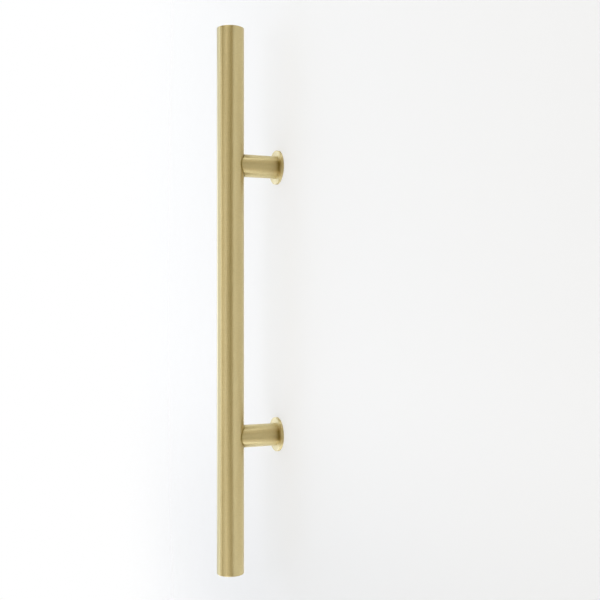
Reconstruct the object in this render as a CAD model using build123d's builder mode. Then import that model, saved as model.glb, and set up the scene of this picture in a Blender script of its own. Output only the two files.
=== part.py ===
from build123d import *
import os

# Door pull: a long round bar carried on two round posts, with a round rose where each post meets the door.
# The door's face is the plane Y = 0 and the pull stands off it towards -Y, with the bar upright along Z.
# The origin lies in the door's face, midway between the two fixings. All sizes are in millimetres.

# The grip bar is a tube with a turned cap glued into each end.
bar_length = 600.0
bar_diameter = 30.0
bar_wall = 2.0
cap_head = 3.0
cap_spigot_length = 10.0
cap_edge = 0.4
glue_gap = 0.05

# Where the bar and its fixings stand on the door.
fixing_centres = 300.0
standoff = 56.0

# The posts, whose front ends are cut to sit on the bar.
post_diameter = 25.0
post_floor = 6.0
saddle_gap = 0.05

# The roses, plain discs held between post and door.
rose_diameter = 38.0
rose_thickness = 3.0
rose_edge = 0.4
rose_gap = 0.15

# The cap screw that pulls each post onto the bar. Its thread and the nut's are plain rounds, drawn at full size.
screw_diameter = 6.0
screw_length = 20.0
screw_head_diameter = 10.0
screw_head_height = 6.0
screw_hole_gap = 0.2
hex_across_flats = 5.0
hex_depth = 3.0
thread_gap = 0.08

# The split ring under the screw's head.
washer_width = 1.75
washer_thickness = 1.6
washer_split = 1.2
washer_gap = 0.15

# The nut inside the bar, curved to lie against the tube's wall.
nut_length = 24.0
nut_depth = 8.0
nut_gap = 0.05

# The threaded plug in the back of each post, which takes the bolt that comes through the door.
door_thread_diameter = 8.0
door_thread_pitch = 1.25
insert_length = 13.0
insert_diameter = 14.0
insert_gap = 0.05
insert_recess = 0.2
insert_edge = 0.25
slot_width = 1.6
slot_depth = 1.5

# Radii that follow from the sizes above.
bar_radius = bar_diameter / 2
tube_radius = bar_radius - bar_wall
screw_radius = screw_diameter / 2
screw_hole_radius = screw_radius + screw_hole_gap
door_thread_radius = (door_thread_diameter - door_thread_pitch) / 2
washer_inner_radius = screw_radius + washer_gap
washer_outer_radius = washer_inner_radius + washer_width
insert_radius = insert_diameter / 2

# How far in front of the door's face each seat along a post lies.
post_front = standoff - bar_radius - saddle_gap
washer_seat = post_front - post_floor
screw_seat = washer_seat - washer_thickness
screw_head_back = screw_seat - screw_head_height
nut_back = standoff - tube_radius + nut_gap
nut_front = nut_back + nut_depth

# The two fixings by their height above the origin, and the bar's two ends by the way that they face.
fixings = {"upper": fixing_centres / 2, "lower": -fixing_centres / 2}
ends = {"upper": 1, "lower": -1}
tube_length = bar_length - 2 * cap_head


def off_door(depth, height):
    """The plane at this depth in front of the door, facing away from it, centred on a post."""
    return Plane(origin=(0, -depth, height), x_dir=(-1, 0, 0), z_dir=(0, -1, 0))


def make_grip_bar():
    """The tube, with a hole through its back wall at each fixing."""
    with BuildPart() as bar:
        with BuildSketch(Plane.XY.offset(-tube_length / 2)):
            with Locations((0, -standoff)):
                Circle(bar_radius)
                Circle(tube_radius, mode=Mode.SUBTRACT)
        extrude(amount=tube_length)
        for height in fixings.values():
            with BuildSketch(off_door(0, height)):
                Circle(screw_hole_radius)
            extrude(amount=standoff, mode=Mode.SUBTRACT)
    return bar


def make_end_cap(facing):
    """A disc as wide as the bar on a spigot that slides into the tube."""
    outward = Axis((0, 0, 0), (0, 0, facing))
    tube_end = Plane(origin=(0, -standoff, facing * tube_length / 2), z_dir=(0, 0, facing))
    with BuildPart() as cap:
        with BuildSketch(tube_end):
            Circle(bar_radius)
        extrude(amount=cap_head)
        chamfer(cap.edges().group_by(outward)[-1], length=cap_edge)
        with BuildSketch(tube_end):
            Circle(tube_radius - glue_gap)
        extrude(amount=-cap_spigot_length)
    return cap


def make_post(height):
    """A round post with a saddle for the bar in front and a stepped bore from the back."""
    with BuildPart() as post:
        with BuildSketch(off_door(rose_thickness, height)):
            Circle(post_diameter / 2)
        extrude(amount=standoff - rose_thickness)
        # The bar's own round is cut away, which leaves two horns that reach round its sides.
        with BuildSketch(Plane.XY.offset(height - post_diameter)):
            with Locations((0, -standoff)):
                Circle(bar_radius + saddle_gap)
        extrude(amount=2 * post_diameter, mode=Mode.SUBTRACT)
        # The wide bore takes the threaded plug and the screw's head, and only the shank goes on through the floor.
        bores = ((insert_radius + insert_gap, washer_seat), (screw_hole_radius, standoff))
        for radius, depth in bores:
            with BuildSketch(off_door(0, height)):
                Circle(radius)
            extrude(amount=depth, mode=Mode.SUBTRACT)
    return post


def make_rose(height):
    """A plain turned disc that is centred on the threaded plug."""
    with BuildPart() as rose:
        with BuildSketch(off_door(0, height)):
            Circle(rose_diameter / 2)
        extrude(amount=rose_thickness)
        chamfer(rose.edges().group_by(Axis.Y)[0], length=rose_edge)
        with BuildSketch(off_door(0, height)):
            Circle(insert_radius + rose_gap)
        extrude(amount=rose_thickness, mode=Mode.SUBTRACT)
    return rose


def make_threaded_insert(height):
    """A plug with the door bolt's thread through it and a slot across its back."""
    with BuildPart() as insert:
        with BuildSketch(off_door(insert_recess, height)):
            Circle(insert_radius)
            Circle(door_thread_radius, mode=Mode.SUBTRACT)
        extrude(amount=insert_length)
        back_rims = insert.edges().group_by(Axis.Y)[-1]
        chamfer(back_rims.sort_by(SortBy.RADIUS)[0], length=insert_edge)
        with BuildSketch(off_door(insert_recess, height)):
            Rectangle(2 * insert_radius, slot_width)
        extrude(amount=slot_depth, mode=Mode.SUBTRACT)
    return insert


def make_saddle_nut(height):
    """A nut cut from round bar, flat in front, with its round back against the tube's wall."""
    with BuildPart() as nut:
        with BuildSketch(Plane.XY.offset(height - nut_length / 2)):
            with Locations((0, -standoff)):
                Circle(tube_radius - nut_gap)
            with Locations((0, -nut_front)):
                Rectangle(
                    2 * tube_radius,
                    nut_depth,
                    align=(Align.CENTER, Align.MIN),
                    mode=Mode.INTERSECT,
                )
        extrude(amount=nut_length)
        with BuildSketch(off_door(0, height)):
            Circle(screw_radius + thread_gap)
        extrude(amount=nut_front, mode=Mode.SUBTRACT)
    return nut


def make_post_screw(height):
    """A cap screw with a six-sided socket, its head at the back and its tip in the nut."""
    with BuildPart() as screw:
        with BuildSketch(off_door(screw_head_back, height)):
            Circle(screw_head_diameter / 2)
        extrude(amount=screw_head_height)
        with BuildSketch(off_door(screw_head_back, height)):
            RegularPolygon(hex_across_flats / 2, side_count=6, major_radius=False)
        extrude(amount=hex_depth, mode=Mode.SUBTRACT)
        with BuildSketch(off_door(screw_seat, height)):
            Circle(screw_radius)
        extrude(amount=screw_length)
    return screw


def make_lock_washer(height):
    """A ring with a split through one side, pressed flat under the screw's head."""
    with BuildPart() as washer:
        with BuildSketch(off_door(screw_seat, height)):
            Circle(washer_outer_radius)
            Circle(washer_inner_radius, mode=Mode.SUBTRACT)
            with Locations((washer_outer_radius, 0)):
                Rectangle(2 * washer_outer_radius, washer_split, mode=Mode.SUBTRACT)
        extrude(amount=washer_thickness)
    return washer


def keep(piece, name):
    """Label a finished piece and write it to its own file."""
    piece.part.label = name
    export_step(piece.part, f"parts/{name}.step")


os.makedirs("parts", exist_ok=True)
keep(make_grip_bar(), "grip_bar")
for end, facing in ends.items():
    keep(make_end_cap(facing), f"{end}_end_cap")
for place, height in fixings.items():
    keep(make_post(height), f"{place}_post")
    keep(make_rose(height), f"{place}_rose")
    keep(make_threaded_insert(height), f"{place}_threaded_insert")
    keep(make_saddle_nut(height), f"{place}_saddle_nut")
    keep(make_post_screw(height), f"{place}_post_screw")
    keep(make_lock_washer(height), f"{place}_lock_washer")
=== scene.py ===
import math

import bmesh
import bpy
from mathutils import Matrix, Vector


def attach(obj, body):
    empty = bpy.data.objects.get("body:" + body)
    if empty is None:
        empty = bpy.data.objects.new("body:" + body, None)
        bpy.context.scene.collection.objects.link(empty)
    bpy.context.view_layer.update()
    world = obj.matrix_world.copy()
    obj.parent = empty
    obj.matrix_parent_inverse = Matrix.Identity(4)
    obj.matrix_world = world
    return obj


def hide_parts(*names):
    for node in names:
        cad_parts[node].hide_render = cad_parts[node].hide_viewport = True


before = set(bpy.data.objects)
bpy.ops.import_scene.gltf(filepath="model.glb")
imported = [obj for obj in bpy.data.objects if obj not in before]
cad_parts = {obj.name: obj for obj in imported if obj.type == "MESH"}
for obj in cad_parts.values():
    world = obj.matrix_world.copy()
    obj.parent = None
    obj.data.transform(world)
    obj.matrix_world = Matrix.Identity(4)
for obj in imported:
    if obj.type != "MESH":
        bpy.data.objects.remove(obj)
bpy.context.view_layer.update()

# A long round pull on two posts: its pieces, its finishes, and the studio and camera that it is seen with.
# Sizes are in millimetres, as in the pull's source. Z is up, and the face it is fixed to is Y = 0.
MM = 0.001

# The bar, a tube with a cap glued into each end.
bar_end = 300.0
bar_radius = 15.0
bar_wall = 2.0
cap_head = 3.0
cap_spigot = 10.0

# How far the bar stands off, and how far each fixing is from the middle.
standoff = 56.0
fixing_height = 150.0

# The posts and the roses.
post_radius = 12.5
post_floor = 6.0
shank_hole = 3.2
rose_radius = 19.0
rose_thickness = 3.0

# The plug in the back of each post, with its M8 thread and the slot that it is turned in by.
insert_radius = 7.0
insert_length = 13.0
insert_back = 0.2
insert_mouth = 4.15
thread_diameter = 8.0
thread_pitch = 1.25
slot_width = 1.6
slot_depth = 1.5

# The gap that is left between two pieces.
fit_gap = 0.05
rose_gap = 0.15

# How far each edge is rounded or broken.
cap_edge = 0.4
rose_edge = 0.4
rose_back_edge = 0.1
rose_bore_edge = 0.2
saddle_edge = 0.35
post_foot_edge = 0.2
insert_front_edge = 0.4
insert_back_edge = 0.2
hairline = 0.05

# Sizes that follow from the ones above.
tube_radius = bar_radius - bar_wall
tube_end = bar_end - cap_head
spigot_radius = tube_radius - fit_gap
spigot_end = tube_end - cap_spigot
saddle_radius = bar_radius + fit_gap
washer_seat = standoff - saddle_radius - post_floor
wide_bore = insert_radius + fit_gap
rose_hole = insert_radius + rose_gap
insert_front = insert_back + insert_length
thread_core = (thread_diameter - thread_pitch) / 2

# Into how many steps a round is turned.
bar_sides = 192
post_sides = 160
insert_sides = 96
hole_sides = 48
thread_sides = 48
gauge_sides = 720

# How near two places are when they count as the same, and when they are merged.
slack = 0.01
merge_gap = 0.002
thread_merge_gap = 0.001

# The brushed finish: how deep its lines are, and how much they differ from each other in brightness.
line_depth = 0.003 * MM
line_contrast = 0.2
line_level = 1.02
line_roughness = 0.6

# The faint clouds over the metal, and a quarter turn, which sets its highlights along the piece.
cloud_scale = 22.0
cloud_detail = 3.0
quarter_turn = 0.25

# The metal's tone where an edge is rubbed bright, and where a joint is darkened, partly by tarnishing and
# partly by painted shade, and how much of it shows.
rubbed_change = (1.12, 1.12, 1.12)
rubbed_share = 0.35
tarnish_and_shade_change = (0.58, 0.52, 0.27)
tarnish_and_shade_share = 0.85

# How far round to a post's side the painted shade at its root starts and is full, and how little of it is
# elsewhere.
side_start = 0.86
side_full = 0.94
root_least = 0.15

# How much the roughness goes up and down, and how much an edge loses by being rubbed.
band_swing = 0.10
smudge_swing = 0.06
rubbed_gloss = 0.06

# The backdrop and the floor, in metres, and how much they give of their own to stay near white.
backdrop_size = 4
backdrop_gap = 0.1 * MM
backdrop_glow = 0.07
floor_size = 6
floor_height = -1.6
floor_glow = 0.1
pale_tone = 0.925
own_tone_share = 0.55

# Between which heights the backdrop gets deeper in the metal, and greyer towards its foot to the camera.
deepen_start = 0.26
deepen_full = 0.60
foot_start = -0.40
foot_end = -0.05

# How far round each fixing the backdrop is open.
opening = (rose_radius - 2) * MM

# The room that the metal shows, and where the lamps stand, in metres.
room_radius = 3
room_level = (0.19, 0.15, 0.0)
lamp_distance = 1.6
overhead = 1.3
side_height = 0.8

# The camera, which is level with the middle of the bar.
camera_lens = 55.02
camera_place = (0.960, -0.3821, 0.00098)
camera_direction = (-0.9198, 0.3923, 0)


# Modelling.


def take(*pieces):
    """Select these pieces alone, the last of them active."""
    if bpy.context.mode != "OBJECT":
        bpy.ops.object.mode_set(mode="OBJECT")
    bpy.ops.object.select_all(action="DESELECT")
    for piece in pieces:
        piece.select_set(True)
        bpy.context.view_layer.objects.active = piece


def open_up(piece):
    """Go into edit mode on a piece with all of it selected."""
    take(piece)
    bpy.ops.object.mode_set(mode="EDIT")
    bpy.ops.mesh.select_all(action="SELECT")


def settle(piece):
    """Put a piece's place and turn into its mesh."""
    take(piece)
    bpy.ops.object.transform_apply(location=True, rotation=True, scale=True)


def draw_profile(name, points):
    """Draw a line from point to point, each a radius and a height in millimetres, beside the Z axis."""
    take()
    bpy.ops.mesh.primitive_plane_add(size=MM, location=(0, 0, 0))
    piece = bpy.context.object
    piece.name = piece.data.name = name
    open_up(piece)
    bpy.ops.mesh.merge(type="CENTER")
    bpy.ops.mesh.select_mode(type="VERT")
    bpy.ops.mesh.select_all(action="SELECT")
    here = Vector((0, 0, 0))
    for count, (radius, height) in enumerate(points):
        there = Vector((radius, 0, height)) * MM
        step = {"value": there - here}
        if count == 0:
            bpy.ops.transform.translate(**step)
        else:
            bpy.ops.mesh.extrude_vertices_move(TRANSFORM_OT_translate=step)
        here = there
    bpy.ops.object.mode_set(mode="OBJECT")
    return piece


def close_up(piece):
    """Merge what meets and turn every face outwards."""
    open_up(piece)
    bpy.ops.mesh.remove_doubles(threshold=merge_gap * MM)
    bpy.ops.mesh.normals_make_consistent(inside=False)
    bpy.ops.object.mode_set(mode="OBJECT")


def turn(name, points, sides):
    """Turn a profile round Z, as on a lathe."""
    piece = draw_profile(name, points)
    open_up(piece)
    bpy.ops.mesh.spin(steps=sides, angle=2 * math.pi, center=(0, 0, 0), axis=(0, 0, 1))
    close_up(piece)
    return piece


def agree(first, second, within=slack):
    """Whether two sizes are the same, give or take a little."""
    return abs(first - second) < within


def ease(piece, width, on_rim, segments):
    """Round the sharp edges whose two ends both lie on a rim."""
    take(piece)
    bpy.ops.object.mode_set(mode="EDIT")
    bpy.ops.mesh.select_mode(type="EDGE")
    bpy.ops.mesh.select_all(action="DESELECT")
    mesh = bmesh.from_edit_mesh(piece.data)
    for edge in mesh.edges:
        edge.select_set(all(on_rim(corner.co / MM) for corner in edge.verts))
    bmesh.update_edit_mesh(piece.data)
    bpy.ops.mesh.bevel(offset=width * MM, segments=segments, profile=0.5, affect="EDGES")
    bpy.ops.object.mode_set(mode="OBJECT")


def rim(radius, height):
    """A test of whether a point lies on the rim of this radius and height round Z."""
    return lambda at: agree(math.hypot(at.x, at.y), radius) and agree(at.z, height)


def cut(piece, cutter):
    """Cut one shape away from a piece and throw the cutter away."""
    take(piece)
    bite = piece.modifiers.new("bite", "BOOLEAN")
    bite.operation = "DIFFERENCE"
    bite.solver = "EXACT"
    bite.object = cutter
    bpy.ops.object.modifier_apply(modifier=bite.name)
    bpy.data.objects.remove(cutter)


def drill(radius, start, end, height):
    """A round cutter along Y, between two depths in front of the fixing face."""
    take()
    bpy.ops.mesh.primitive_cylinder_add(
        vertices=hole_sides,
        radius=radius * MM,
        depth=(end - start) * MM,
        location=(0, -(start + end) / 2 * MM, height * MM),
        rotation=(math.radians(90), 0, 0),
    )
    return bpy.context.object


def finish_faces(piece, angle=32):
    """Shade round faces smooth and keep corners crisp."""
    take(piece)
    bpy.ops.object.shade_smooth_by_angle(angle=math.radians(angle))


def stand_off(piece, height):
    """Lay a piece turned on Z along a post's axis, its heights now depths in front of the fixing face."""
    piece.rotation_euler = (math.radians(90), 0, 0)
    piece.location = (0, 0, height * MM)
    settle(piece)


def copy_of(piece, name):
    """Copy a piece, with its own mesh."""
    take(piece)
    bpy.ops.object.duplicate(linked=False)
    second = bpy.context.object
    second.name = second.data.name = name
    return second


def copy_down(piece, name):
    """Copy an upper piece to the lower fixing."""
    lower = copy_of(piece, name)
    lower.location = (0, 0, -2 * fixing_height * MM)
    settle(lower)
    return lower


def thread_rod(name, core, crest, start, end):
    """A threaded rod on Z, its ends cut square."""
    flank = math.radians(30)
    rise = (crest - core) * math.tan(flank)
    flat = (thread_pitch - 2 * rise) / 3
    foot = start - thread_pitch
    points = (
        (core, foot),
        (core, foot + flat),
        (crest, foot + flat + rise),
        (crest, foot + 2 * flat + rise),
        (core, foot + 2 * flat + 2 * rise),
        (core, start),
    )
    rod = draw_profile(name, points)
    turns = rod.modifiers.new("turns", "SCREW")
    turns.axis = "Z"
    turns.angle = 2 * math.pi
    turns.screw_offset = thread_pitch * MM
    turns.iterations = math.ceil((end - start) / thread_pitch) + 2
    turns.steps = turns.render_steps = thread_sides
    turns.use_merge_vertices = True
    turns.merge_threshold = thread_merge_gap * MM
    take(rod)
    bpy.ops.object.modifier_apply(modifier=turns.name)
    for height, upward in ((start, False), (end, True)):
        open_up(rod)
        bpy.ops.mesh.bisect(
            plane_co=(0, 0, height * MM),
            plane_no=(0, 0, 1),
            use_fill=True,
            clear_outer=upward,
            clear_inner=not upward,
        )
    close_up(rod)
    return rod


# The pieces.


def on_tube_end(at):
    """Whether a point lies on the outer rim of either end of the tube."""
    return agree(math.hypot(at.x, at.y), bar_radius) and agree(abs(at.z), tube_end)


def make_grip_bar():
    """The tube, with its two fixing holes and a hairline edge at each end."""
    ring_reach = 6
    heights = [-tube_end]
    for fixing in (-fixing_height, fixing_height):
        heights += [fixing - ring_reach, fixing + ring_reach]
    heights += [tube_end]
    points = [(bar_radius, height) for height in heights]
    points += [(tube_radius, height) for height in reversed(heights)]
    points.append(points[0])
    bar = turn("grip_bar_tube", points, bar_sides)
    ease(bar, hairline, on_tube_end, segments=1)
    bar.location = (0, -standoff * MM, 0)
    settle(bar)
    # Each hole goes through the back of the tube alone, from clear behind it to short of its axis.
    clear = 4
    for height in (fixing_height, -fixing_height):
        cut(bar, drill(shank_hole, standoff - bar_radius - clear, standoff - clear, height))
    close_up(bar)
    finish_faces(bar)
    return bar


def make_end_caps():
    """The turned cap with a rounded rim, and its copy upside down."""
    outer_ring = bar_radius - 1.5
    inner_ring = 6
    points = (
        (0, spigot_end),
        (spigot_radius - cap_edge, spigot_end),
        (spigot_radius, spigot_end + cap_edge),
        (spigot_radius, tube_end),
        (bar_radius, tube_end),
        (bar_radius, bar_end),
        (outer_ring, bar_end),
        (inner_ring, bar_end),
        (0, bar_end),
    )
    upper = turn("upper_cap", points, bar_sides)
    ease(upper, cap_edge, rim(bar_radius, bar_end), segments=4)
    ease(upper, hairline, rim(bar_radius, tube_end), segments=1)
    lower = copy_of(upper, "lower_cap")
    lower.rotation_euler = (math.radians(180), 0, 0)
    for cap in (upper, lower):
        cap.location = (0, -standoff * MM, 0)
        settle(cap)
        finish_faces(cap)
    return upper, lower


def on_saddle(at):
    """Whether a point lies on both the post's outside and the saddle."""
    outside = agree(math.hypot(at.x, at.z), post_radius)
    return outside and agree(math.hypot(at.x, at.y + standoff), saddle_radius, within=2 * slack)


def on_foot(at):
    """Whether a point lies on the rim where the post meets its rose."""
    return agree(math.hypot(at.x, at.z), post_radius) and agree(at.y, -rose_thickness)


def press_to_bar(post, depth):
    """Press the post's front, which lies at this depth, to the bar's own round."""
    front = post.vertex_groups.new(name="front")
    corners = [corner.index for corner in post.data.vertices if -corner.co.y > (depth - slack) * MM]
    front.add(corners, 1, "REPLACE")
    take()
    bpy.ops.mesh.primitive_cylinder_add(
        vertices=gauge_sides,
        radius=saddle_radius * MM,
        depth=4 * post_radius * MM,
        location=(0, -standoff * MM, 0),
    )
    gauge = bpy.context.object
    take(post)
    press = post.modifiers.new("press", "SHRINKWRAP")
    press.target = gauge
    press.wrap_method = "PROJECT"
    press.use_project_x = False
    press.use_project_y = True
    press.use_project_z = False
    press.use_negative_direction = True
    press.use_positive_direction = True
    press.vertex_group = front.name
    bpy.ops.object.modifier_apply(modifier=press.name)
    bpy.data.objects.remove(gauge)
    post.vertex_groups.clear()


def make_posts():
    """The turned post, its front pressed to the bar's own round, and its copy."""
    # The blank ends just past the tips of the two horns that the saddle leaves.
    blank = standoff - 8
    front_rings = (post_radius, 12.2, 11.6, 10.8, 9.6, 8.2, 6.8, 5.4, 4.2, shank_hole)
    points = [(post_radius, rose_thickness)]
    points += [(radius, blank) for radius in front_rings]
    points += [
        (shank_hole, washer_seat),
        (wide_bore, washer_seat),
        (wide_bore, rose_thickness),
        (post_radius, rose_thickness),
    ]
    upper = turn("upper_saddle_post", points, post_sides)
    stand_off(upper, 0)
    press_to_bar(upper, blank)
    ease(upper, saddle_edge, on_saddle, segments=2)
    ease(upper, post_foot_edge, on_foot, segments=2)
    upper.location = (0, 0, fixing_height * MM)
    settle(upper)
    finish_faces(upper)
    return upper, copy_down(upper, "lower_saddle_post")


def make_roses():
    """The turned disc with a rounded rim, and its copy."""
    inner_ring = post_radius + 0.5
    outer_ring = rose_radius - 1.2
    points = (
        (rose_hole, 0),
        (rose_hole, rose_thickness),
        (inner_ring, rose_thickness),
        (outer_ring, rose_thickness),
        (rose_radius, rose_thickness),
        (rose_radius, 0),
        (rose_hole, 0),
    )
    upper = turn("upper_rose_disc", points, bar_sides)
    ease(upper, rose_edge, rim(rose_radius, rose_thickness), segments=4)
    ease(upper, rose_back_edge, rim(rose_radius, 0), segments=1)
    ease(upper, rose_bore_edge, rim(rose_hole, 0), segments=1)
    stand_off(upper, fixing_height)
    finish_faces(upper)
    return upper, copy_down(upper, "lower_rose_disc")


def make_inserts():
    """The threaded plug with its real thread and a slot across its back, and its copy."""
    front_mouth = 0.5
    points = (
        (insert_mouth, insert_back),
        (thread_core, insert_back + insert_mouth - thread_core),
        (thread_core, insert_front - front_mouth),
        (thread_core + front_mouth, insert_front),
        (insert_radius - insert_front_edge, insert_front),
        (insert_radius, insert_front - insert_front_edge),
        (insert_radius, insert_back + insert_back_edge),
        (insert_radius - insert_back_edge, insert_back),
        (insert_mouth, insert_back),
    )
    upper = turn("upper_insert_thread", points, insert_sides)
    # The tap reaches past both ends of the plug, and its root lies inside the core hole.
    tap_root = 3.3
    tap_crest = 4.02
    tap_start = -2
    tap_end = 16
    cut(upper, thread_rod("tap", tap_root, tap_crest, tap_start, tap_end))
    blade_length = 20
    take()
    bpy.ops.mesh.primitive_cube_add(size=1, location=(0, 0, insert_back * MM))
    blade = bpy.context.object
    blade.scale = (blade_length * MM, slot_width * MM, 2 * slot_depth * MM)
    settle(blade)
    cut(upper, blade)
    close_up(upper)
    stand_off(upper, fixing_height)
    finish_faces(upper, angle=40)
    return upper, copy_down(upper, "lower_insert_thread")


# The finishes.


class Bench:
    """A node tree with short ways to place and join its nodes."""

    def __init__(self, tree):
        self.tree = tree

    def put(self, kind, **settings):
        """Place a node and set what it is told."""
        node = self.tree.nodes.new(kind)
        for name, value in settings.items():
            setattr(node, name, value)
        return node

    def feed(self, value, socket):
        """Join an output to an input, or write a plain value there."""
        if isinstance(value, bpy.types.NodeSocket):
            self.tree.links.new(value, socket)
        else:
            socket.default_value = value

    def maths(self, operation, *values):
        """A sum on one or two values."""
        node = self.put("ShaderNodeMath", operation=operation)
        for value, socket in zip(values, node.inputs):
            self.feed(value, socket)
        return node.outputs[0]

    def split(self, vector):
        """The three parts of a vector."""
        node = self.put("ShaderNodeSeparateXYZ")
        self.feed(vector, node.inputs[0])
        return node.outputs

    def vector(self, x, y, z):
        """A vector of three parts."""
        node = self.put("ShaderNodeCombineXYZ")
        for value, socket in zip((x, y, z), node.inputs):
            self.feed(value, socket)
        return node.outputs[0]

    def vector_maths(self, operation, first, second, output):
        """A sum on two vectors."""
        node = self.put("ShaderNodeVectorMath", operation=operation)
        self.feed(first, node.inputs[0])
        self.feed(second, node.inputs[1])
        return node.outputs[output]

    def ramp(self, value, start, end, low=0.0, high=1.0, course="SMOOTHSTEP"):
        """Go from a low level to a high one while a value grows from a start to an end."""
        node = self.put("ShaderNodeMapRange", interpolation_type=course)
        self.feed(value, node.inputs["Value"])
        node.inputs["From Min"].default_value = start
        node.inputs["From Max"].default_value = end
        node.inputs["To Min"].default_value = low
        node.inputs["To Max"].default_value = high
        return node.outputs[0]

    def noise(self, place, scale, detail, roughness=0.5):
        """A soft random pattern between nought and one."""
        node = self.put("ShaderNodeTexNoise")
        self.feed(place, node.inputs["Vector"])
        node.inputs["Scale"].default_value = scale
        node.inputs["Detail"].default_value = detail
        node.inputs["Roughness"].default_value = roughness
        return node.outputs["Fac"]

    def mix(self, share, first, second):
        """Two colours mixed, with this share of the second."""
        node = self.put("ShaderNodeMix", data_type="RGBA")
        for value, index in ((share, 0), (first, 6), (second, 7)):
            self.feed(value, node.inputs[index])
        return node.outputs[2]

    def glow(self, strength, colour=(1, 1, 1, 1)):
        """A surface that gives light of its own."""
        node = self.put("ShaderNodeEmission")
        self.feed(strength, node.inputs["Strength"])
        self.feed(colour, node.inputs["Color"])
        return node.outputs[0]

    def blend(self, share, first, second):
        """Two surfaces mixed, with this share of the second."""
        node = self.put("ShaderNodeMixShader")
        for value, socket in zip((share, first, second), node.inputs):
            self.feed(value, socket)
        return node.outputs[0]


def start_group(name, inputs, outputs):
    """A node group with named inputs, each a number or a place where it has no value, and named outputs."""
    group = bpy.data.node_groups.new(name, "ShaderNodeTree")
    for label, value in inputs.items():
        if value is None:
            group.interface.new_socket(name=label, in_out="INPUT", socket_type="NodeSocketVector")
        else:
            socket = group.interface.new_socket(name=label, in_out="INPUT", socket_type="NodeSocketFloat")
            socket.default_value = value
    for label in outputs:
        group.interface.new_socket(name=label, in_out="OUTPUT", socket_type="NodeSocketFloat")
    bench = Bench(group)
    given = bench.put("NodeGroupInput").outputs
    result = bench.put("NodeGroupOutput").inputs
    return group, bench, given, result


def make_turned_grain():
    """Fine lines round Z: on round faces they follow the height, on flat ones the radius."""
    inputs = {"Position": None, "Lines per Metre": 3500.0, "Breaks": 4.0}
    group, bench, given, result = start_group("turned grain", inputs, ("Lines", "Bands"))
    x, y, z = bench.split(given["Position"])
    squares = [bench.maths("MULTIPLY", value, value) for value in (x, y)]
    radius = bench.maths("SQRT", bench.maths("ADD", *squares))
    along = bench.maths("MULTIPLY", bench.maths("ADD", z, radius), given["Lines per Metre"])
    across = bench.maths("MULTIPLY", bench.maths("DIVIDE", x, radius), given["Breaks"])
    around = bench.maths("MULTIPLY", bench.maths("DIVIDE", y, radius), given["Breaks"])
    for output, slower, detail in (("Lines", 1.0, 3.0), ("Bands", 0.06, 2.0)):
        place = bench.vector(bench.maths("MULTIPLY", along, slower), across, around)
        bench.feed(bench.noise(place, 1.0, detail, line_roughness), result[output])
    return group


def make_edge_polish():
    """A mask that is high where an edge has been rubbed brighter."""
    group, bench, given, result = start_group("edge polish", {"Width": 0.4 * MM, "Gain": 6.0}, ("Mask",))
    rounded = bench.put("ShaderNodeBevel", samples=4)
    bench.feed(given["Width"], rounded.inputs["Radius"])
    face = bench.put("ShaderNodeNewGeometry")
    facing = bench.vector_maths("DOT_PRODUCT", rounded.outputs[0], face.outputs["Normal"], "Value")
    bend = bench.maths("MULTIPLY", bench.maths("SUBTRACT", 1.0, facing), given["Gain"])
    bench.feed(bench.maths("MINIMUM", bend, 1.0), result["Mask"])
    return group


def make_joint_tarnish_and_shade():
    """A mask that is high in the corner of post and bar, and in the corner of post and rose: partly
    tarnishing in the joints, partly painted shade.
    """
    inputs = {"Position": None, "Saddle Width": 1.3 * MM, "Root Width": 4.5 * MM}
    group, bench, given, result = start_group("joint tarnish", inputs, ("Mask",))
    x, y, z = bench.split(given["Position"])

    def from_axis(across, along):
        """How far a point lies from an axis."""
        squares = [bench.maths("MULTIPLY", value, value) for value in (across, along)]
        return bench.maths("SQRT", bench.maths("ADD", *squares))

    def beyond(far, radius):
        """How much further that is than this radius."""
        return bench.maths("MAXIMUM", bench.maths("SUBTRACT", far, radius * MM), 0.0)

    from_bar = from_axis(x, bench.maths("ADD", y, standoff * MM))
    from_post = from_axis(x, bench.maths("SUBTRACT", bench.maths("ABSOLUTE", z), fixing_height * MM))
    off_bar = beyond(from_bar, bar_radius)
    off_post = beyond(from_post, post_radius)
    off_rose = bench.maths("SUBTRACT", bench.maths("MULTIPLY", y, -1.0), rose_thickness * MM)
    # The post's round runs on through bar and rose, so the bar's front and the rose's back are left out.
    behind_bar = bench.maths("GREATER_THAN", y, -standoff * MM)
    rose_slack = 0.1 * MM
    before_rose = bench.maths("GREATER_THAN", off_rose, -rose_slack)
    # At a post's root the mask is full on the post's two sides and least on its top and bottom, as painted
    # shade.
    to_side = bench.maths("DIVIDE", bench.maths("ABSOLUTE", x), from_post)
    at_root = bench.maths("MULTIPLY", before_rose, bench.ramp(to_side, side_start, side_full, root_least))
    corners = []
    for seat, width, side in (
        (off_bar, "Saddle Width", behind_bar),
        (off_rose, "Root Width", at_root),
    ):
        share = bench.maths("DIVIDE", bench.maths("ADD", seat, off_post), given[width])
        near = bench.maths("MAXIMUM", bench.maths("SUBTRACT", 1.0, share), 0.0)
        corners.append(bench.maths("MULTIPLY", bench.maths("MINIMUM", near, 1.0), side))
    bench.feed(bench.maths("MAXIMUM", *corners), result["Mask"])
    return group


def from_own_axis(bench, place, axis):
    """The place from the bar's axis, or from the post's, which then runs up Z as the bar's does."""
    if axis == "BAR":
        centred = bench.put("ShaderNodeMapping")
        centred.inputs["Location"].default_value = (0, standoff * MM, 0)
        bench.feed(place, centred.inputs["Vector"])
        return centred.outputs[0]
    # The upper and lower posts share one pattern.
    x, y, z = bench.split(place)
    height = bench.maths("SUBTRACT", bench.maths("ABSOLUTE", z), fixing_height * MM)
    return bench.vector(x, height, bench.maths("MULTIPLY", y, -1.0))


def shade(tone, change):
    """A tone with each of its three parts changed by its own factor."""
    return (*(min(1.0, part * factor) for part, factor in zip(tone, change)), 1)


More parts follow.
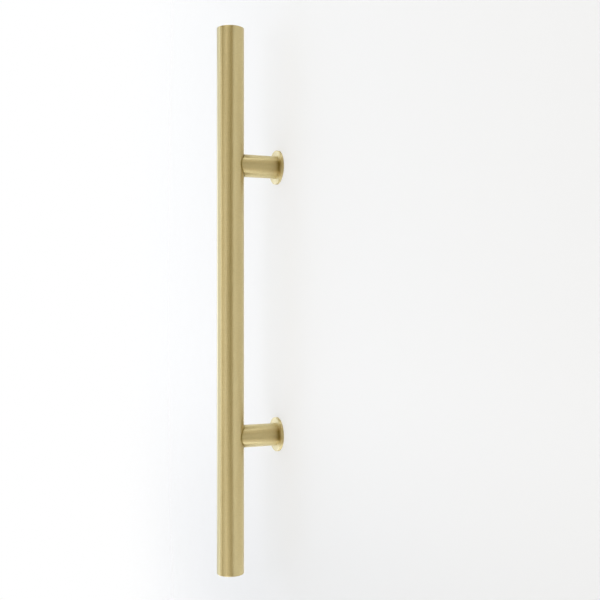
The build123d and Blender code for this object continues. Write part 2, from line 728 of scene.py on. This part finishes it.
def make_metal(name, effects, axis, tone, cloud_change, roughness, stretch, lines):
    """A turned and brushed metal whose lines run round the bar or round the posts."""
    grain, polish, tarnish_and_shade = effects
    metal = bpy.data.materials.new(name)
    metal.use_nodes = True
    bench = Bench(metal.node_tree)
    shader = metal.node_tree.nodes["Principled BSDF"]
    shader.inputs["Metallic"].default_value = 1.0
    shader.inputs["Anisotropic"].default_value = stretch
    shader.inputs["Anisotropic Rotation"].default_value = quarter_turn
    tangent = bench.put("ShaderNodeTangent", direction_type="RADIAL", axis="Z" if axis == "BAR" else "Y")
    bench.feed(tangent.outputs[0], shader.inputs["Tangent"])

    place = bench.put("ShaderNodeTexCoord").outputs["Object"]
    lined = bench.put("ShaderNodeGroup", node_tree=grain)
    lined.inputs["Lines per Metre"].default_value = lines
    bench.feed(from_own_axis(bench, place, axis), lined.inputs["Position"])
    worn = bench.put("ShaderNodeGroup", node_tree=polish).outputs["Mask"]
    cornered = bench.put("ShaderNodeGroup", node_tree=tarnish_and_shade)
    bench.feed(place, cornered.inputs["Position"])
    cloud = bench.noise(place, cloud_scale, cloud_detail)

    clouded = bench.mix(cloud, (*tone, 1), shade(tone, cloud_change))
    rubbed = bench.mix(bench.maths("MULTIPLY", worn, rubbed_share), clouded, shade(tone, rubbed_change))
    # Here the joints are darkened, partly as tarnishing and partly as painted shade.
    tarnish_and_shade_amount = bench.maths("MULTIPLY", cornered.outputs["Mask"], tarnish_and_shade_share)
    tarnished_and_shaded = bench.mix(tarnish_and_shade_amount, rubbed, shade(tone, tarnish_and_shade_change))
    # Each fine line catches a little more or less light than the next.
    low, high = line_level - line_contrast, line_level + line_contrast
    brushed = bench.put("ShaderNodeVectorMath", operation="SCALE")
    bench.feed(tarnished_and_shaded, brushed.inputs[0])
    bench.feed(bench.ramp(lined.outputs["Lines"], 0.0, 1.0, low, high, "LINEAR"), brushed.inputs["Scale"])
    bench.feed(brushed.outputs[0], shader.inputs["Base Color"])

    bands = bench.maths("MULTIPLY", bench.maths("SUBTRACT", lined.outputs["Bands"], 0.5), band_swing)
    smudges = bench.maths("MULTIPLY", bench.maths("SUBTRACT", cloud, 0.5), smudge_swing)
    rough = bench.maths("ADD", bench.maths("ADD", bands, smudges), roughness)
    smoothed = bench.maths("MULTIPLY", worn, rubbed_gloss)
    bench.feed(bench.maths("SUBTRACT", rough, smoothed), shader.inputs["Roughness"])

    relief = bench.put("ShaderNodeBump")
    relief.inputs["Strength"].default_value = 1.0
    relief.inputs["Distance"].default_value = line_depth
    bench.feed(lined.outputs["Lines"], relief.inputs["Height"])
    bench.feed(relief.outputs[0], shader.inputs["Normal"])
    return metal


def coat(piece, metal):
    """Give a piece one material in place of what it had."""
    piece.data.materials.clear()
    piece.data.materials.append(metal)


def wear(metal, slot, *pieces):
    """Give pieces one material; the record's slot that it stands for is passed but not used."""
    for piece in pieces:
        coat(piece, metal)


# The studio.


def start_paint(name):
    """An empty material, its nodes and the socket that its surface goes into."""
    paint = bpy.data.materials.new(name)
    paint.use_nodes = True
    bench = Bench(paint.node_tree)
    bench.tree.nodes.clear()
    return paint, bench, bench.put("ShaderNodeOutputMaterial").inputs["Surface"]


def stage_paint(name, colour, deep_colour, glow, foot_tone, middle, full, gone):
    """Pale matt paint that is solid from its front alone and thins out to white round its middle."""
    paint, bench, surface = start_paint(name)
    place = bench.put("ShaderNodeTexCoord").outputs["Object"]
    parts = bench.split(place)
    height = parts["Z"]
    off_middle = bench.maths("ABSOLUTE", height)
    seen = bench.put("ShaderNodeLightPath").outputs["Is Camera Ray"]
    unseen = bench.maths("SUBTRACT", 1.0, seen)
    # In the metal the paint is deeper well above and well below the pull.
    deep = bench.maths("MULTIPLY", bench.ramp(off_middle, deepen_start, deepen_full), unseen)
    matt = bench.put("ShaderNodeBsdfDiffuse")
    bench.feed(bench.mix(deep, colour, deep_colour), matt.inputs["Color"])
    lit = bench.put("ShaderNodeAddShader")
    bench.feed(matt.outputs[0], lit.inputs[0])
    bench.feed(bench.glow(glow), lit.inputs[1])
    # To the camera it has its own tone too, greyer towards the foot, which keeps the shadow on it faint.
    tone = bench.ramp(height, foot_start, foot_end, foot_tone, pale_tone)
    lifted = bench.blend(bench.maths("MULTIPLY", seen, own_tone_share), lit.outputs[0], bench.glow(tone))
    # It reaches twice as far up and down as it does sideways.
    flatter = bench.vector_maths("MULTIPLY", place, (1, 1, 0.5), "Vector")
    reach = bench.vector_maths("DISTANCE", flatter, middle, "Value")
    # Only the camera sees the paint thin out: to the lamps and in the metal it stays whole.
    whole = bench.maths("MAXIMUM", bench.ramp(reach, full, gone, 1.0, 0.0), unseen)
    # It is open behind each rose, so that light reaches the plug in the post and its thread from behind.
    fixing = (0, 0, fixing_height * MM)
    from_fixing = bench.vector_maths("DISTANCE", bench.vector(parts["X"], 0.0, off_middle), fixing, "Value")
    closed = bench.maths("GREATER_THAN", from_fixing, opening)
    face = bench.put("ShaderNodeNewGeometry")
    front = bench.maths("SUBTRACT", 1.0, face.outputs["Backfacing"])
    solid = bench.maths("MULTIPLY", bench.maths("MULTIPLY", front, closed), whole)
    clear = bench.put("ShaderNodeBsdfTransparent")
    bench.feed(bench.blend(solid, clear.outputs[0], lifted), surface)
    return paint


def make_backdrop():
    """A pale backdrop that the roses stand against, and a pale floor well below."""
    take()
    bpy.ops.mesh.primitive_plane_add(
        size=backdrop_size,
        location=(0, -backdrop_gap, 0),
        rotation=(math.radians(90), 0, 0),
    )
    backdrop = bpy.context.object
    backdrop.name = "backdrop"
    settle(backdrop)
    backdrop_paint = stage_paint(
        "pale backdrop",
        colour=(0.88, 0.88, 0.88, 1),
        deep_colour=(0.55, 0.55, 0.55, 1),
        glow=backdrop_glow,
        foot_tone=0.72,
        middle=(0.75, 0, 0),
        full=0.8,
        gone=1.6,
    )
    backdrop.data.materials.append(backdrop_paint)
    take()
    bpy.ops.mesh.primitive_plane_add(size=floor_size, location=(0, 0, floor_height))
    floor = bpy.context.object
    floor.name = "floor"
    settle(floor)
    floor_paint = stage_paint(
        "pale floor",
        colour=(0.885, 0.885, 0.88, 1),
        deep_colour=(0.885, 0.885, 0.88, 1),
        glow=floor_glow,
        foot_tone=pale_tone,
        middle=(0, 0, -0.8),
        full=0.5,
        gone=2.4,
    )
    floor.data.materials.append(floor_paint)


def make_room():
    """A dim warm room round the front of the pull, which the metal shows and the camera never sees."""
    take()
    bpy.ops.mesh.primitive_uv_sphere_add(segments=48, ring_count=24, radius=room_radius)
    room = bpy.context.object
    room.name = "room"
    open_up(room)
    bpy.ops.mesh.bisect(plane_co=(0, 0, 0), plane_no=(0, 1, 0), clear_outer=True)
    bpy.ops.object.mode_set(mode="OBJECT")
    dim, bench, surface = start_paint("dim room")
    dim.cycles.emission_sampling = "NONE"
    seen = bench.put("ShaderNodeLightPath").outputs["Is Camera Ray"]
    clear = bench.put("ShaderNodeBsdfTransparent")
    bench.feed(bench.blend(seen, bench.glow(1.0, (*room_level, 1)), clear.outputs[0]), surface)
    room.data.materials.append(dim)


def softbox(name, place, size, level, shape, colour, aim):
    """A soft lamp that faces its aim and shows in the metal at this level."""
    lamp = bpy.data.lights.new(name, "AREA")
    lamp.shape = shape
    lamp.size, lamp.size_y = size
    lamp.color = colour
    # A lamp shows at its power over four times its face.
    face = size[0] * size[1]
    if shape == "ELLIPSE":
        face *= math.pi / 4
    lamp.energy = 4 * face * level
    box = bpy.data.objects.new(name, lamp)
    bpy.context.scene.collection.objects.link(box)
    box.location = place
    box.rotation_euler = (Vector(aim) - box.location).to_track_quat("-Z", "Y").to_euler()


def upright_box(name, toward, spread, tall, level, shape, colour, height=0.0):
    """A soft lamp that stands at an angle round the bar and is this many degrees wide to either side."""
    angle = math.radians(toward)
    x = math.cos(angle) * lamp_distance
    y = math.sin(angle) * lamp_distance - standoff * MM
    wide = 2 * lamp_distance * math.tan(math.radians(spread))
    softbox(name, (x, y, height), (wide, tall), level, shape, colour, (0, -standoff * MM, height))


def light_studio():
    """Plain soft light: tall boxes in front, and boxes above and below, most of them a little cool."""
    faint = (0.88, 0.89, 1.0)
    cool = (0.78, 0.86, 1.0)
    cooler = (0.64, 0.74, 1.0)
    warm = (1.0, 0.84, 0.78)
    # Each box has its angle round the bar, its half width in degrees, its height in metres and its level.
    upright_box("left end box", -165, 8, 1.2, 0.85, "RECTANGLE", cool)
    upright_box("left box", -141, 36, 2.2, 1.02, "ELLIPSE", cooler)
    upright_box("strip box", -103, 5.5, 2.4, 1.04, "RECTANGLE", faint)
    upright_box("front box", -77, 20, 0.95, 1.19, "ELLIPSE", faint)
    upright_box("side box", -56, 9, 0.9, 0.68, "ELLIPSE", cooler)
    upright_box("far box", -5, 6, 0.8, 0.68, "RECTANGLE", faint)
    for word, way in (("upper", 1), ("lower", -1)):
        upright_box(f"{word} side box", -36, 20, 0.8, 0.36, "ELLIPSE", cool, way * side_height)
        upright_box(f"{word} turned box", -52, 8, 0.8, 0.30, "RECTANGLE", warm, way * side_height)
        for side, x, y, wide, deep, level, colour in (
            ("left", -1.2, -0.8, 0.8, 1.5, 2.02, cool),
            ("near", 0.0, -0.35, 0.8, 0.6, 2.95, cool),
            ("right", 0.4, -0.8, 0.8, 1.5, 0.71, faint),
            ("far right", 1.2, -0.8, 0.8, 1.5, 0.49, warm),
        ):
            place = (x, y, way * overhead)
            softbox(f"{word} {side} box", place, (wide, deep), level, "RECTANGLE", colour, (x, y, 0))
    world = bpy.data.worlds.new("white surround")
    bpy.context.scene.world = world
    world.use_nodes = True
    world.node_tree.nodes["Background"].inputs["Color"].default_value = (1, 1, 1, 1)


def set_camera():
    """The camera where the photograph was taken from."""
    lens = bpy.data.cameras.new("camera")
    lens.lens = camera_lens
    lens.sensor_width = 36
    lens.clip_start = 0.01
    lens.clip_end = 50
    camera = bpy.data.objects.new("camera", lens)
    bpy.context.scene.collection.objects.link(camera)
    camera.location = camera_place
    camera.rotation_euler = Vector(camera_direction).to_track_quat("-Z", "Y").to_euler()
    bpy.context.scene.camera = camera


# Putting it together.

bar = make_grip_bar()
caps = make_end_caps()
posts = make_posts()
roses = make_roses()
inserts = make_inserts()

for piece, node in (
    (bar, "grip_bar"),
    (caps[0], "upper_end_cap"),
    (caps[1], "lower_end_cap"),
    (posts[0], "upper_post"),
    (posts[1], "lower_post"),
    (roses[0], "upper_rose"),
    (roses[1], "lower_rose"),
    (inserts[0], "upper_threaded_insert"),
    (inserts[1], "lower_threaded_insert"),
):
    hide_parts(node)
    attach(piece, "root")

effects = (make_turned_grain(), make_edge_polish(), make_joint_tarnish_and_shade())
all_brass = {"tone": (0.645, 0.54, 0.285), "cloud_change": (0.97, 0.95, 0.90), "lines": 3500}
all_steel = {"axis": "POST", "stretch": 0.3, "lines": 2500}
brass_on_bar = make_metal(
    "satin brass round the bar",
    effects,
    axis="BAR",
    roughness=0.35,
    stretch=0.95,
    **all_brass,
)
brass_on_post = make_metal(
    "satin brass round the posts",
    effects,
    axis="POST",
    roughness=0.42,
    stretch=0.9,
    **all_brass,
)
steel = make_metal(
    "fixing steel",
    effects,
    tone=(0.58, 0.57, 0.55),
    cloud_change=(0.9, 0.9, 0.9),
    roughness=0.3,
    **all_steel,
)
spring = make_metal(
    "spring steel",
    effects,
    tone=(0.30, 0.29, 0.28),
    cloud_change=(0.85, 0.85, 0.85),
    roughness=0.4,
    **all_steel,
)

wear(brass_on_bar, "satin_brass", bar, *caps)
wear(brass_on_post, "satin_brass", *posts, *roses)
wear(steel, "fixing_steel", *inserts)

# The screws, nuts and split rings inside keep the source's own shapes.
for node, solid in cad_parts.items():
    if "screw" in node or "nut" in node:
        coat(solid, steel)
    if "washer" in node:
        coat(solid, spring)

make_backdrop()
make_room()
light_studio()
set_camera()
bpy.context.scene.view_settings.view_transform = "Standard"
